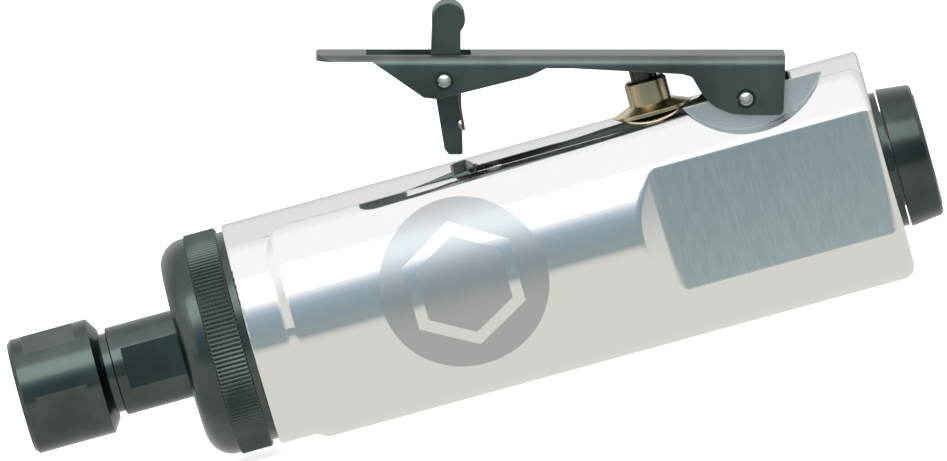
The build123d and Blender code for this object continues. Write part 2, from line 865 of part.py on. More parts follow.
def lever_side_points():
    """Outline of the throttle lever's side in its own frame."""
    lug = [(lock_pin_u + u, v - lever_skirt_bottom) for u, v in lever_lug_outline]
    foot = [(u, lever_channel_edge - v) for u, v in lever_foot_outline]
    return (
        (-lever_front, lever_top),
        (-lever_front, lever_top - lever_sheet),
        (-lever_tongue_end, lever_top - lever_sheet),
        *lug,
        *foot,
        (lever_rear - 0.3, foot[-1][1]),
        (lever_rear, lever_top),
    )


def build_throttle_lever():
    points = lever_side_points()
    body = side_plate(points, lever_half_width, rounds=(
        (points[4], lever_lug_round),
        (points[6], lever_outline_round),
        (points[10], lever_step_round),
        (points[11], lever_outline_round),
        (points[12], lever_outline_round),
        (points[13], lever_outline_round),
        (points[-2], lever_rear_corner),
    ))
    bends = body.edges().filter_by(Axis.X).group_by(Axis.Z)[-1]
    body = fillet(bends, lever_bend)
    hollow = side_plate(lever_hollow_points(), lever_inner_half)
    inner_bends = hollow.edges().filter_by(Axis.X).group_by(Axis.Z)[-1]
    body -= fillet(inner_bends, lever_bend - lever_sheet)
    for side in (-1, 1):
        corner = Rectangle(lever_tongue_corner, lever_tongue_corner, align=(Align.MIN, Align.MAX))
        corner -= Pos(lever_tongue_corner, -lever_tongue_corner) * Circle(lever_tongue_corner)
        trim = Pos(-lever_front, lever_half_width, 0) * extrude(corner, 20)
        body -= trim if side > 0 else mirror(trim, Plane.XZ)
    body -= along_y(pin_radius + pin_play, 0, 0, lever_half_width + 1)
    body -= along_y(pin_radius, lock_pin_u, lock_pin_v, lever_half_width + 1)
    body -= lock_slot()
    return in_lever_frame(body)


def lock_slot():
    """The opening in the lever's top sheet that the lock-off lever swings through."""
    half = lock_half_width + lock_slot_play
    head_reach = math.hypot(*lock_head_centre) + lock_head_radius
    under = lever_top - lever_sheet - lock_pin_v
    front = lock_pin_u - math.sqrt(head_reach ** 2 - under ** 2) - lock_slot_play
    rear = lock_pin_u + lock_head_centre[0] + lock_head_radius + 2 * lock_slot_play
    return box(front, rear, -half, half, lever_top - lever_sheet - 1, lever_top + 1)


def build_lock_lever():
    head_u, head_v = lock_head_centre
    leg_bottom = -lock_leg
    body = side_plate((
        lock_waist[0],
        (head_u - lock_neck_front, head_v),
        (head_u + lock_neck_rear, head_v),
        lock_waist[1],
    ), lock_half_width)
    body += along_y(lock_head_radius, head_u, head_v, lock_half_width)
    body += along_y(lock_hub_radius, lock_hub_offset, 0, lock_half_width)
    toe_rear = (lock_leg_rear, leg_bottom)
    toe_front = (lock_leg_front, leg_bottom)
    body += side_plate((
        *lock_leg_root,
        toe_rear,
        toe_front,
        (lock_toe[0], leg_bottom + lock_toe[1]),
    ), lock_half_width, rounds=((toe_front, lock_toe_round), (toe_rear, lock_toe_round)))
    body -= along_y(lock_notch_radius, lock_leg_rear, -lock_notch_drop, lock_half_width + 1)
    body -= along_y(pin_radius + run_fit, 0, 0, lock_half_width + 1)
    return in_lever_frame(Pos(lock_pin_u, 0, lock_pin_v) * body)


def build_lock_spring():
    """A closely wound coil around the lock-off pin, with one leg down to the notch and one forwards."""
    wire = lock_spring_wire
    y_from = -lock_half_width - slip_fit - lock_spring_width
    coil_inner = pin_radius + slip_fit
    coil_outer = coil_inner + lock_coil_share * wire
    middle = y_from + lock_spring_width / 2
    coil = Pos(0, middle, 0) * Rot(90, 0, 0) * Cylinder(coil_outer, lock_spring_width)
    coil -= Pos(0, middle, 0) * Rot(90, 0, 0) * Cylinder(coil_inner, lock_spring_width + 1)
    reach = (coil_inner + coil_outer) / 2
    down = Pos(reach, middle, 0) * Rot(0, -lock_spring_lean, 0) * Cylinder(
        wire, lock_notch_drop + 1, align=(Align.CENTER, Align.CENTER, Align.MAX))
    forward = Pos(-lock_spring_reach, middle, reach) * Rot(0, 90, 0) * Cylinder(
        wire, lock_spring_reach, align=(Align.CENTER, Align.CENTER, Align.MIN))
    return in_lever_frame(Pos(lock_pin_u, 0, lock_pin_v) * (coil + down + forward))


# ---------------------------------------------------------------- assembly

def build_all():
    """Every node, by name."""
    front_outer, front_inner, front_balls, front_cage = ball_bearing(front_bearing, front_bearing_start)
    rear_outer, rear_inner, rear_balls, rear_cage = ball_bearing(rear_bearing, rear_bearing_start)
    ring_inside = ring_front + ring_web
    seal = ring(seal_radius, spindle_radius + run_fit, ring_inside - seal_width, ring_inside)
    pin_reach = lever_half_width + pin_proud
    nodes = {
        "collet": build_collet(),
        "collet_nut": build_collet_nut(),
        "spindle": build_spindle(),
        "clamp_ring": build_clamp_ring(),
        "dust_seal": seal,
        "front_preload_washer": build_dished_washer(
            ring_inside,
            front_bearing_start,
            seal_radius,
            front_bearing[1] - slip_fit,
            front_washer_thickness,
        ),
        "front_bearing_outer": front_outer,
        "front_bearing_inner": front_inner,
        "front_bearing_balls": front_balls,
        "front_bearing_cage": front_cage,
        "front_end_plate": build_front_end_plate(),
        "motor_cylinder": build_motor_cylinder(),
        "cylinder_dowels": Compound(dowel_bars()),
        "rotor": build_rotor(),
        "rotor_key": box(*key_limits()),
        "rear_end_plate": build_rear_end_plate(),
        "rear_bearing_outer": rear_outer,
        "rear_bearing_inner": rear_inner,
        "rear_bearing_balls": rear_balls,
        "rear_bearing_cage": rear_cage,
        "rear_washer": build_dished_washer(
            rear_hub_end, motor_bay_end, rear_bearing[1], rear_bearing[1] + hub_wall, rear_washer_thickness),
        "air_feed_tube": build_air_feed_tube(),
        "housing": build_housing(),
        "valve_cap": build_valve_cap(),
        "valve_stem": build_valve_stem(),
        "valve_poppet": build_valve_poppet(),
        "valve_seat": build_valve_seat(),
        "valve_spring": build_valve_spring(),
        "stem_o_ring": build_stem_o_ring(),
        "seat_o_ring": build_seat_o_ring(),
        "inlet_bushing": build_inlet_bushing(),
        "inlet_screen": build_inlet_screen(),
        "exhaust_muffler": build_exhaust_muffler(),
        "exhaust_collar": build_exhaust_collar(),
        "exhaust_deflector": build_exhaust_deflector(),
        "throttle_lever": build_throttle_lever(),
        "pivot_pin": spring_pin(pivot_x, pivot_z, pin_reach),
        "lock_pin": spring_pin(lock_pin_x, lock_pin_z, pin_reach),
        "lock_lever": build_lock_lever(),
        "lock_spring": build_lock_spring(),
    }
    for number in range(vane_count):
        nodes[f"vane_{number + 1}"] = build_vane(number)
    return nodes


os.makedirs("parts", exist_ok=True)
for name, shape in build_all().items():
    export_step(shape, f"parts/{name}.step")
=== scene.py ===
"""Looks of a straight pneumatic die grinder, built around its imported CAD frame.

Metres throughout. X runs along the spindle from the collet mouth to the air inlet, and Z is up towards the
throttle lever.
"""

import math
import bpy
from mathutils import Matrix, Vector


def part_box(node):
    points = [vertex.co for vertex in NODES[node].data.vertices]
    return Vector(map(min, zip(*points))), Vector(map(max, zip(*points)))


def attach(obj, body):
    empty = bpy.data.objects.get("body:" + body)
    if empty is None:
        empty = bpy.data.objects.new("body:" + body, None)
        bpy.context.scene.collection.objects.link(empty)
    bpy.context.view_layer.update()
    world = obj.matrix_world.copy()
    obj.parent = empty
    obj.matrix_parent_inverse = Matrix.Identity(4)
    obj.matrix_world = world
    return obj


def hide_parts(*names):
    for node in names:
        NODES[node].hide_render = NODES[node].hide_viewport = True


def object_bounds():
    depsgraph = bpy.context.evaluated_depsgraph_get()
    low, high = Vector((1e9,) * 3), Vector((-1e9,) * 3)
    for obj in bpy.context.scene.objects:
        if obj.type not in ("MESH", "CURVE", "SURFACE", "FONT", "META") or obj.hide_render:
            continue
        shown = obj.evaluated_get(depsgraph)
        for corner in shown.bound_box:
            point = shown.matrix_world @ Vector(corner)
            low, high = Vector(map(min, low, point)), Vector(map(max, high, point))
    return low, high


bl_info = {
    "name": "Straight Die Grinder",
    "version": (1, 0, 0),
    "blender": (4, 5, 0),
    "location": "3D View > Sidebar > Die Grinder",
    "description": "Finishes, small parts and studio for a straight pneumatic die grinder",
    "category": "Object",
}

import bmesh
import bpy
from mathutils import Matrix, Quaternion, Vector

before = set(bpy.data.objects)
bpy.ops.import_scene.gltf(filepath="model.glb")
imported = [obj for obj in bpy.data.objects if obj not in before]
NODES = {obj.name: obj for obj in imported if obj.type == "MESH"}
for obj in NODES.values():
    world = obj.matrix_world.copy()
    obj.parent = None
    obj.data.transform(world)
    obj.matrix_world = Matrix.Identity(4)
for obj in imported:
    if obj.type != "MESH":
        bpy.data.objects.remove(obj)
CAD_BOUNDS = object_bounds()
MM = 0.001


# ---------------------------------------------------------------- node helpers

def add_node(tree, kind, settings=None, sockets=None):
    """Adds a node, sets its own settings, and sets or links its input sockets by name or number."""
    node = tree.nodes.new(kind)
    for name, value in (settings or {}).items():
        setattr(node, name, value)
    for name, value in (sockets or {}).items():
        feed(tree, node.inputs[name], value)
    return node


def feed(tree, socket, value):
    """Links an output socket to an input, or sets the input to a constant."""
    if isinstance(value, bpy.types.NodeSocket):
        tree.links.new(value, socket)
    else:
        socket.default_value = value


def calc(tree, operation, first, second=0.0, third=0.0, clamp=False):
    """One Math node; returns its output."""
    node = add_node(tree, "ShaderNodeMath", {"operation": operation, "use_clamp": clamp},
                    {0: first, 1: second, 2: third})
    return node.outputs[0]


def ramp_between(tree, value, low, high, out_low=0.0, out_high=1.0, smooth=True):
    """Maps a value from one range to another, clamped, with soft ends."""
    kind = "SMOOTHSTEP" if smooth else "LINEAR"
    node = add_node(tree, "ShaderNodeMapRange", {"interpolation_type": kind}, {
        "Value": value, "From Min": low, "From Max": high, "To Min": out_low, "To Max": out_high})
    return node.outputs["Result"]


def mix_colours(tree, factor, first, second, blend="MIX"):
    """One colour mix; returns its output."""
    node = add_node(tree, "ShaderNodeMix", {"data_type": "RGBA", "blend_type": blend})
    feed(tree, node.inputs["Factor"], factor)
    feed(tree, node.inputs[6], first)
    feed(tree, node.inputs[7], second)
    return node.outputs[2]


def opaque(colour):
    """A colour with full alpha, as colour sockets want it."""
    return (*colour[:3], 1.0)


def new_group(name, inputs, outputs):
    """An empty shader node group with its sockets; returns the tree, its input node and its output node."""
    tree = bpy.data.node_groups.new(name, "ShaderNodeTree")
    for socket, kind, value in inputs:
        made = tree.interface.new_socket(socket, in_out="INPUT", socket_type=kind)
        made.default_value = value
    for socket, kind in outputs:
        tree.interface.new_socket(socket, in_out="OUTPUT", socket_type=kind)
    return tree, tree.nodes.new("NodeGroupInput"), tree.nodes.new("NodeGroupOutput")


def use_group(tree, group, sockets):
    """Places a node group with its own values."""
    node = tree.nodes.new("ShaderNodeGroup")
    node.node_tree = group
    for name, value in sockets.items():
        feed(tree, node.inputs[name], value)
    return node


# ---------------------------------------------------------------- shared effects

def edge_wear_and_highlight_group():
    """Mask of sharp convex edges, broken up by noise; it brightens edges as wear and as a painted edge highlight."""
    tree, given, result = new_group("Edge wear and highlight", (
        ("Width", "NodeSocketFloat", 0.3 * MM),
        ("Breakup Scale", "NodeSocketFloat", 900.0),
        ("Amount", "NodeSocketFloat", 1.0),
    ), (("Mask", "NodeSocketFloat"),))
    bevel = add_node(tree, "ShaderNodeBevel", {"samples": 4}, {"Radius": given.outputs["Width"]})
    surface = add_node(tree, "ShaderNodeNewGeometry")
    facing = add_node(tree, "ShaderNodeVectorMath", {"operation": "DOT_PRODUCT"}, {
        0: bevel.outputs["Normal"], 1: surface.outputs["Normal"]})
    edge = ramp_between(tree, calc(tree, "SUBTRACT", 1.0, facing.outputs["Value"]), 0.02, 0.2)
    place = add_node(tree, "ShaderNodeTexCoord")
    noise = add_node(tree, "ShaderNodeTexNoise", None, {
        "Vector": place.outputs["Object"], "Scale": given.outputs["Breakup Scale"], "Detail": 4.0})
    broken = calc(tree, "MULTIPLY", edge, ramp_between(tree, noise.outputs["Fac"], 0.35, 0.65))
    feed(tree, result.inputs["Mask"], calc(tree, "MULTIPLY", broken, given.outputs["Amount"], clamp=True))
    return tree


def brushing_group():
    """Fine parallel strokes: a value around 0.5, stretched along the axis with the smallest stretch."""
    tree, given, result = new_group("Brushing", (
        ("Stretch", "NodeSocketVector", (1.0, 1.0, 0.05)),
        ("Scale", "NodeSocketFloat", 4000.0),
    ), (("Strokes", "NodeSocketFloat"), ("Streaks", "NodeSocketFloat")))
    place = add_node(tree, "ShaderNodeTexCoord")
    stretched = add_node(tree, "ShaderNodeVectorMath", {"operation": "MULTIPLY"}, {
        0: place.outputs["Object"], 1: given.outputs["Stretch"]})
    fine = add_node(tree, "ShaderNodeTexNoise", None, {
        "Vector": stretched.outputs[0], "Scale": given.outputs["Scale"], "Detail": 3.0, "Roughness": 0.6})
    coarse = add_node(tree, "ShaderNodeTexNoise", None, {
        "Vector": stretched.outputs[0], "Scale": calc(tree, "MULTIPLY", given.outputs["Scale"], 0.22),
        "Detail": 2.0})
    feed(tree, result.inputs["Strokes"], fine.outputs["Fac"])
    feed(tree, result.inputs["Streaks"], coarse.outputs["Fac"])
    return tree


def mottle_group():
    """Slow and fine unevenness of a finish, as two values around 0.5."""
    tree, given, result = new_group("Mottle", (
        ("Slow Scale", "NodeSocketFloat", 60.0),
        ("Fine Scale", "NodeSocketFloat", 2500.0),
    ), (("Slow", "NodeSocketFloat"), ("Fine", "NodeSocketFloat")))
    place = add_node(tree, "ShaderNodeTexCoord")
    slow = add_node(tree, "ShaderNodeTexNoise", None, {
        "Vector": place.outputs["Object"], "Scale": given.outputs["Slow Scale"], "Detail": 4.0})
    fine = add_node(tree, "ShaderNodeTexNoise", None, {
        "Vector": place.outputs["Object"], "Scale": given.outputs["Fine Scale"], "Detail": 2.0})
    feed(tree, result.inputs["Slow"], slow.outputs["Fac"])
    feed(tree, result.inputs["Fine"], fine.outputs["Fac"])
    return tree


def effect(name):
    """A shared effect's node group, made on first use."""
    makers = {"Edge wear and highlight": edge_wear_and_highlight_group, "Brushing": brushing_group, "Mottle": mottle_group}
    return bpy.data.node_groups.get(name) or makers[name]()


# ---------------------------------------------------------------- materials

def new_material(name, colour):
    """A node material with an empty tree and its output node."""
    material = bpy.data.materials.new(name)
    material.use_nodes = True
    material.diffuse_color = opaque(colour)
    material.node_tree.nodes.clear()
    return material, material.node_tree


def close_material(tree, colour, roughness, normal, metallic):
    """Adds the Principled shader and the output."""
    shader = add_node(tree, "ShaderNodeBsdfPrincipled", None, {
        "Base Color": colour, "Roughness": roughness, "Metallic": metallic, "Normal": normal})
    output = tree.nodes.new("ShaderNodeOutputMaterial")
    tree.links.new(shader.outputs["BSDF"], output.inputs["Surface"])


def rounded_bump(tree, height, distance, strength, edge_radius):
    """A bump on top of slightly rounded edges; returns the normal."""
    bevel = add_node(tree, "ShaderNodeBevel", {"samples": 6}, {"Radius": edge_radius})
    bump = add_node(tree, "ShaderNodeBump", None, {
        "Strength": strength, "Distance": distance, "Height": height, "Normal": bevel.outputs["Normal"]})
    return bump.outputs["Normal"]


def plated_metal(name, colour, worn_and_highlight_colour, roughness=0.3, wear=0.5, grain=0.25, edge=0.15 * MM,
                 stretch=(0.08, 1.0, 1.0), second=None):
    """A plated, oxidised or ground metal: mottled colour, fine turning marks and brighter edges, partly wear and
    partly a painted highlight.

    second is a colour and a function that makes its mask from the x, y and z sockets.
    """
    material, tree = new_material(name, colour)
    mottle = use_group(tree, effect("Mottle"), {"Slow Scale": 90.0, "Fine Scale": 3000.0})
    strokes = use_group(tree, effect("Brushing"), {"Stretch": stretch, "Scale": 6000.0})
    edges = use_group(tree, effect("Edge wear and highlight"), {"Width": 0.25 * MM, "Amount": wear})
    lighter = opaque([min(1.0, channel * 1.22 + 0.004) for channel in colour])
    darker = opaque([channel * 0.8 for channel in colour])
    base = mix_colours(tree, ramp_between(tree, mottle.outputs["Slow"], 0.3, 0.7), darker, lighter)
    # brighter edges: wear, and on the levers partly a painted highlight along the edges
    base = mix_colours(tree, edges.outputs["Mask"], base, opaque(worn_and_highlight_colour))
    if second:
        other, make_mask = second
        place = add_node(tree, "ShaderNodeTexCoord")
        axes = add_node(tree, "ShaderNodeSeparateXYZ", None, {0: place.outputs["Object"]})
        base = mix_colours(tree, make_mask(tree, *axes.outputs), base, opaque(other))
    uneven = calc(tree, "MULTIPLY_ADD", mottle.outputs["Slow"], 0.16, roughness - 0.08)
    uneven = calc(tree, "MULTIPLY_ADD", strokes.outputs["Strokes"], 0.12, calc(tree, "SUBTRACT", uneven, 0.06))
    height = calc(tree, "MULTIPLY_ADD", strokes.outputs["Strokes"], grain, mottle.outputs["Fine"])
    normal = rounded_bump(tree, height, 0.02 * MM, 0.25, edge)
    close_material(tree, base, uneven, normal, 1.0)
    return material


def mask_of_range(tree, value, low, high, soft):
    """1 between two limits, with soft ends."""
    rise = ramp_between(tree, value, low - soft, low + soft)
    fall = ramp_between(tree, value, high - soft, high + soft, 1.0, 0.0)
    return calc(tree, "MULTIPLY", rise, fall)


def beyond_radius(name, radius):
    """Mask maker: 1 further than a radius from a cross pin's axis."""
    low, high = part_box(name)
    middle_x, middle_z = (low[0] + high[0]) / 2, (low[2] + high[2]) / 2

    def mask(tree, x, y, z):
        across = calc(tree, "SUBTRACT", x, middle_x)
        upward = calc(tree, "SUBTRACT", z, middle_z)
        square = calc(tree, "ADD", calc(tree, "MULTIPLY", across, across), calc(tree, "MULTIPLY", upward, upward))
        return ramp_between(tree, calc(tree, "SQRT", square), radius - 0.06 * MM, radius + 0.06 * MM)

    return mask


def above_height(height):
    """Mask maker: 1 above a height."""
    def mask(tree, x, y, z):
        return ramp_between(tree, z, height - 0.12 * MM, height + 0.12 * MM)

    return mask


def polished_aluminium(look):
    """The housing: mirror polish, brushed side flats, matt lever pockets and a satin disc with a hexagon."""
    material, tree = new_material("Polished aluminium", look.body_colour)
    place = add_node(tree, "ShaderNodeTexCoord")
    axes = add_node(tree, "ShaderNodeSeparateXYZ", None, {0: place.outputs["Object"]})
    x, y, z = axes.outputs
    surface = add_node(tree, "ShaderNodeNewGeometry")
    facing = add_node(tree, "ShaderNodeSeparateXYZ", None, {0: surface.outputs["Normal"]})
    side = calc(tree, "ABSOLUTE", y)
    sideways = calc(tree, "ABSOLUTE", facing.outputs[1])

    # side flats, which lie at one distance from the middle and face straight out
    flat_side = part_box("housing")[1][1] - look.flat_depth
    flat = calc(tree, "MULTIPLY", ramp_between(tree, sideways, 0.975, 0.995),
                mask_of_range(tree, side, flat_side - 0.3 * MM, flat_side + 0.12 * MM, 0.06 * MM))
    # lever pockets: faces near the middle that look sideways, above the axis
    pocket = calc(tree, "MULTIPLY", ramp_between(tree, side, 6.6 * MM, 7.0 * MM, 1.0, 0.0),
                  ramp_between(tree, sideways, 0.9, 0.97))
    # satin disc on each side, with a plain hexagon left polished
    across = calc(tree, "SUBTRACT", x, look.disc_place)
    upward = calc(tree, "SUBTRACT", z, look.disc_height)
    from_centre = calc(tree, "SQRT", calc(
        tree, "ADD", calc(tree, "MULTIPLY", across, across), calc(tree, "MULTIPLY", upward, upward)))
    disc = ramp_between(tree, from_centre, look.disc_radius - 0.1 * MM, look.disc_radius + 0.1 * MM, 1.0, 0.0)
    hexagon = hexagon_distance(tree, across, upward)
    line = mask_of_range(tree, hexagon, look.hexagon_radius - look.hexagon_line, look.hexagon_radius, 0.08 * MM)
    disc = calc(tree, "MULTIPLY", disc, calc(tree, "SUBTRACT", 1.0, line))
    disc = calc(tree, "MULTIPLY", disc, ramp_between(tree, side, 8 * MM, 10 * MM))

    mottle = use_group(tree, effect("Mottle"), {"Slow Scale": 45.0, "Fine Scale": 3500.0})
    polish = use_group(tree, effect("Brushing"), {"Stretch": (0.04, 1.0, 1.0), "Scale": 2600.0})
    upright = use_group(tree, effect("Brushing"), {"Stretch": (1.0, 1.0, 0.15), "Scale": 9000.0})

    brushed = mix_colours(tree, ramp_between(tree, upright.outputs["Streaks"], 0.3, 0.7),
                          opaque([channel * 0.9 for channel in look.flat_colour]), opaque(look.flat_colour))
    base = mix_colours(tree, flat, opaque(look.body_colour), brushed)
    base = mix_colours(tree, pocket, base, opaque(look.pocket_colour))
    base = mix_colours(tree, disc, base, opaque(look.disc_and_edge_shade_colour))
    # painted shade: a fine dark line along each edge of the milled top, behind the clamp ring's collar, where the
    # small step at that edge lies in shade
    deck_edge_shade = mask_of_range(tree, side, look.deck_edge - 0.12 * MM, look.deck_edge + 0.12 * MM, 0.06 * MM)
    deck_edge_shade = calc(tree, "MULTIPLY", deck_edge_shade, ramp_between(tree, z, 12 * MM, 13 * MM))
    deck_edge_shade = calc(tree, "MULTIPLY", deck_edge_shade, ramp_between(tree, x, look.deck_start, look.deck_start + 0.4 * MM))
    base = mix_colours(tree, calc(tree, "MULTIPLY", deck_edge_shade, 0.6), base, opaque(look.disc_and_edge_shade_colour))

    rough = calc(tree, "MULTIPLY_ADD", mottle.outputs["Slow"], 0.05, look.polish_roughness - 0.025)
    rough = calc(tree, "MULTIPLY_ADD", polish.outputs["Strokes"], 0.04, calc(tree, "SUBTRACT", rough, 0.02))
    matt = calc(tree, "MAXIMUM", calc(tree, "MULTIPLY", flat, 0.30), calc(tree, "MULTIPLY", pocket, 0.42))
    matt = calc(tree, "MAXIMUM", matt, calc(tree, "MULTIPLY", disc, 0.36))
    rough = calc(tree, "ADD", rough, matt, clamp=True)

    strokes = calc(tree, "MULTIPLY", upright.outputs["Strokes"], calc(tree, "MULTIPLY", flat, 1.6))
    grain = calc(tree, "MULTIPLY", mottle.outputs["Fine"], calc(tree, "ADD", disc, pocket))
    height = calc(tree, "ADD", strokes, calc(tree, "MULTIPLY", grain, 0.9))
    height = calc(tree, "MULTIPLY_ADD", polish.outputs["Streaks"], 0.10, height)
    height = calc(tree, "MULTIPLY_ADD", disc, -1.2, height)
    normal = rounded_bump(tree, height, 0.012 * MM, 0.35, look.edge_radius)
    close_material(tree, base, rough, normal, 1.0)
    return material


def hexagon_distance(tree, across, upward):
    """Distance from the centre measured square to a hexagon's sides."""
    across = calc(tree, "ABSOLUTE", across)
    upward = calc(tree, "ABSOLUTE", upward)
    slant = calc(tree, "MULTIPLY_ADD", across, 0.5, calc(tree, "MULTIPLY", upward, math.sqrt(3) / 2))
    return calc(tree, "MAXIMUM", slant, across)


def soft_solid(name, colour, roughness, bump=0.3, scale=1800.0):
    """Rubber, felt or fibre sheet: uneven colour and a fine grain."""
    material, tree = new_material(name, colour)
    mottle = use_group(tree, effect("Mottle"), {"Slow Scale": 150.0, "Fine Scale": scale})
    base = mix_colours(tree, ramp_between(tree, mottle.outputs["Fine"], 0.3, 0.7),
                       opaque([channel * 0.7 for channel in colour]), opaque(colour))
    rough = calc(tree, "MULTIPLY_ADD", mottle.outputs["Slow"], 0.2, roughness - 0.1)
    normal = rounded_bump(tree, mottle.outputs["Fine"], 0.05 * MM, bump, 0.1 * MM)
    close_material(tree, base, rough, normal, 0.0)
    return material


def dress(material, *names):
    """Gives CAD nodes a material by their slots."""
    for name in names:
        node = NODES[name]
        if not node.material_slots:
            node.data.materials.append(material)
        for place in node.material_slots:
            place.link = "OBJECT"
            place.material = material


# ---------------------------------------------------------------- mesh helpers

def mesh_object(name, mesh, material, body):
    """Puts a finished mesh in the scene as a piece that rides on a body."""
    piece = bpy.data.objects.new(name, mesh)
    bpy.context.scene.collection.objects.link(piece)
    mesh.materials.append(material)
    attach(piece, body)
    return piece


def turned_mesh(name, outline, segments, shape=None):
    """Turns a closed outline of (x, radius, flag) points around X; shape(radius, flag, step) may change a radius."""
    build = bmesh.new()
    rows = []
    for x, radius, flag in outline:
        row = []
        for step in range(segments):
            angle = 2 * math.pi * step / segments
            reach = shape(radius, flag, step) if shape else radius
            row.append(build.verts.new((x, reach * math.cos(angle), reach * math.sin(angle))))
        rows.append(row)
    for index, row in enumerate(rows):
        following = rows[(index + 1) % len(rows)]
        for step in range(segments):
            after = (step + 1) % segments
            build.faces.new((row[step], row[after], following[after], following[step]))
    bmesh.ops.recalc_face_normals(build, faces=build.faces)
    mesh = bpy.data.meshes.new(name)
    build.to_mesh(mesh)
    build.free()
    mesh.shade_smooth()
    mesh.set_sharp_from_angle(angle=math.radians(38))
    return mesh


# ---------------------------------------------------------------- sizes and colours

class GrinderLook(bpy.types.PropertyGroup):
    """Colours and finishes."""
    body_colour: bpy.props.FloatVectorProperty(
        name="Body", description="Polished cast aluminium", subtype="COLOR", size=3, min=0.0, max=1.0,
        default=(0.86, 0.86, 0.85))
    flat_colour: bpy.props.FloatVectorProperty(
        name="Side flats", description="Brushed aluminium of the side flats", subtype="COLOR", size=3,
        min=0.0, max=1.0, default=(0.57, 0.65, 0.66))
    pocket_colour: bpy.props.FloatVectorProperty(
        name="Lever pockets", description="Milled aluminium of the lever pockets", subtype="COLOR", size=3,
        min=0.0, max=1.0, default=(0.60, 0.64, 0.64))
    # this colour also paints the shade line along the milled top's edges
    disc_and_edge_shade_colour: bpy.props.FloatVectorProperty(
        name="Satin disc", description="Etched disc on the body's sides", subtype="COLOR", size=3,
        min=0.0, max=1.0, default=(0.50, 0.52, 0.53))
    oxide_colour: bpy.props.FloatVectorProperty(
        name="Black oxide", description="Nut, spindle and clamp ring", subtype="COLOR", size=3,
        min=0.0, max=1.0, default=(0.085, 0.105, 0.098))
    lever_colour: bpy.props.FloatVectorProperty(
        name="Levers", description="Throttle lever and lock-off lever", subtype="COLOR", size=3,
        min=0.0, max=1.0, default=(0.120, 0.145, 0.138))
    gold_colour: bpy.props.FloatVectorProperty(
        name="Valve", description="Yellow plating of the throttle valve", subtype="COLOR", size=3,
        min=0.0, max=1.0, default=(0.62, 0.52, 0.33))
    exhaust_colour: bpy.props.FloatVectorProperty(
        name="Exhaust rings", description="Satin black rings at the rear", subtype="COLOR", size=3,
        min=0.0, max=1.0, default=(0.072, 0.090, 0.085))
    # outside this radius the pins' ends are painted dark: painted shade of the gap round each pin in its hole
    pin_gap_shade_radius: bpy.props.FloatProperty(
        name="Pin ring", description="Radius of the bright inner part of the pins' ends", default=1.15 * MM,
        min=0.0, unit="LENGTH")
    tip_height: bpy.props.FloatProperty(
        name="Plunger tip", description="Height above the axis where the valve's plunger turns dark",
        default=24.5 * MM, unit="LENGTH")
    polish_roughness: bpy.props.FloatProperty(
        name="Polish", description="Roughness of the polished body", default=0.05, min=0.0, max=1.0)
    edge_radius: bpy.props.FloatProperty(
        name="Edge radius", description="How softly the body's edges catch light", default=0.35 * MM,
        min=0.0, unit="LENGTH")
    deck_edge: bpy.props.FloatProperty(
        name="Deck edge", description="From the middle to the edge line of the milled top", default=10.35 * MM,
        min=0.0, unit="LENGTH")
    deck_start: bpy.props.FloatProperty(
        name="Deck start", description="Where the edge line begins along the body", default=47.8 * MM,
        unit="LENGTH")
    flat_depth: bpy.props.FloatProperty(
        name="Flat depth", description="How deep the side flats are cut", default=3.2 * MM, min=0.0, unit="LENGTH")
    disc_place: bpy.props.FloatProperty(
        name="Disc place", description="Centre of the satin disc along the body", default=79.6 * MM, unit="LENGTH")
    disc_height: bpy.props.FloatProperty(
        name="Disc height", description="Centre of the satin disc above the axis", default=0.6 * MM, unit="LENGTH")
    disc_radius: bpy.props.FloatProperty(
        name="Disc radius", description="Radius of the satin disc", default=14.7 * MM, min=0.0, unit="LENGTH")
    hexagon_radius: bpy.props.FloatProperty(
        name="Hexagon", description="Half the hexagon's size across its flats", default=9.5 * MM,
        min=0.0, unit="LENGTH")
    hexagon_line: bpy.props.FloatProperty(
        name="Hexagon line", description="Width of the hexagon's polished line", default=2.0 * MM,
        min=0.0, unit="LENGTH")


class GrinderKnurl(bpy.types.PropertyGroup):
    """Ridges of the clamp ring."""
    ridges: bpy.props.IntProperty(
        name="Ridges", description="Number of straight ridges round the clamp ring", default=156, min=8)
    depth: bpy.props.FloatProperty(
        name="Depth", description="Height of a ridge", default=0.40 * MM, min=0.0, unit="LENGTH")
    band_start: bpy.props.FloatProperty(
        name="Band start", description="From the ring's front face to the ridges", default=5.0 * MM,
        min=0.0, unit="LENGTH")
    band_length: bpy.props.FloatProperty(
        name="Band length", description="Length of the ridged band", default=5.8 * MM, min=0.0, unit="LENGTH")
    neck_length: bpy.props.FloatProperty(
        name="Neck length", description="Length of the sunk neck behind the band", default=1.2 * MM,
        min=0.0, unit="LENGTH")
    nose_round: bpy.props.FloatProperty(
        name="Nose round", description="Radius of the ring's rounded nose", default=4.6 * MM,
        min=0.0, unit="LENGTH")


